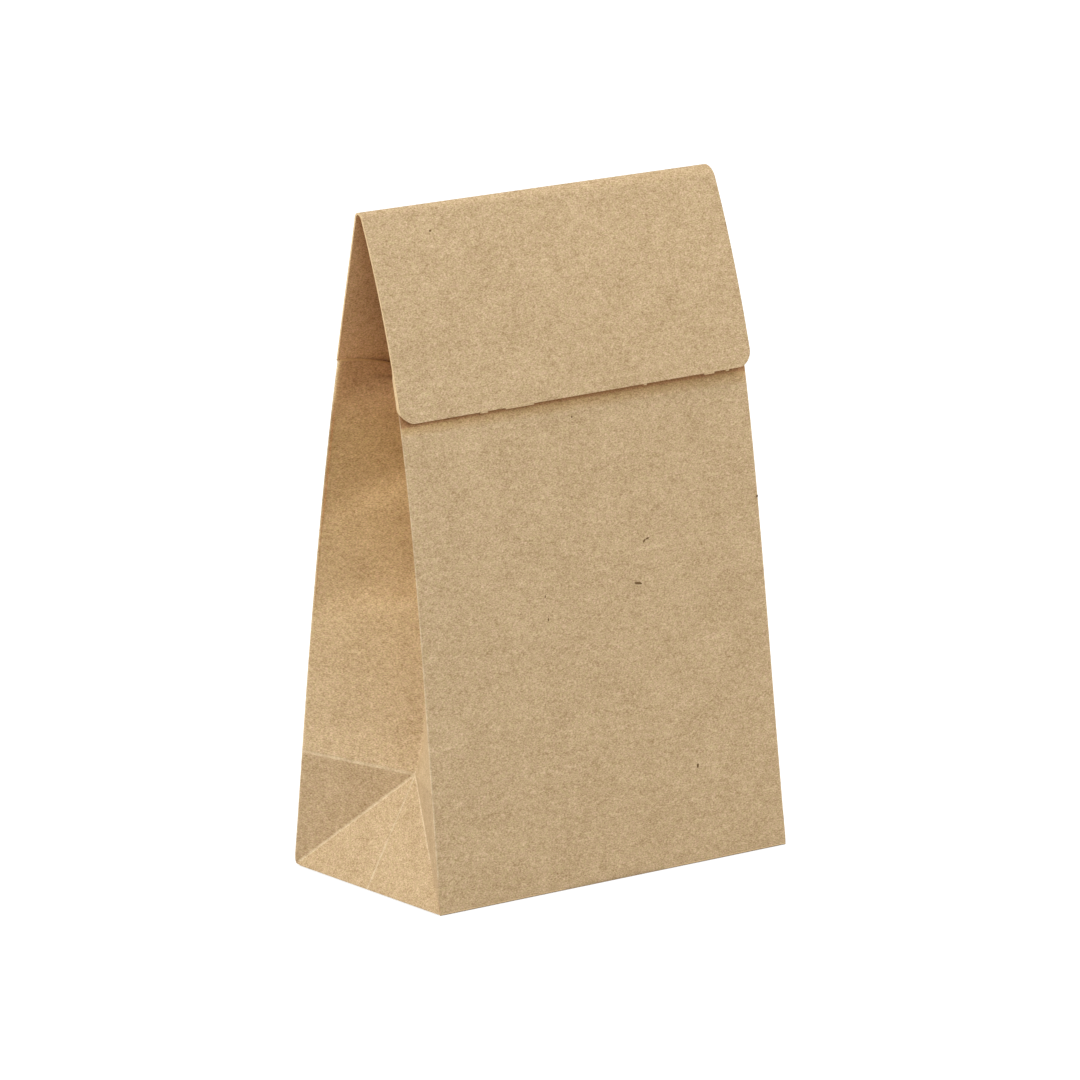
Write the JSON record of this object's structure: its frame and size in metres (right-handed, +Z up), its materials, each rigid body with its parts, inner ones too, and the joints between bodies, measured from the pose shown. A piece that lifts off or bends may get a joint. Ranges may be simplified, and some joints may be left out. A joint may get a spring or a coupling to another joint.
{
  "type": "favour bag",
  "caption": "Small block-bottom bag of folded kraft card with gusseted sides, an open mouth and a long flap with round corners folded down over its front.",
  "frame": {"origin": "on the floor, at the middle of the base's rectangle", "axes": "+Z up towards the top fold, X along the bag's width and the top fold, -Y out of the front, where the flap hangs, +Y out of the plain back panel"},
  "size_m": [0.09, 0.05, 0.1397],
  "materials": {
    "kraft_card": "matt, uncoated, unprinted brown kraft with a fine mottle of fibres"
  },
  "bodies": {
    "root": {"bag": "kraft_card"}
  },
  "joints": []
}
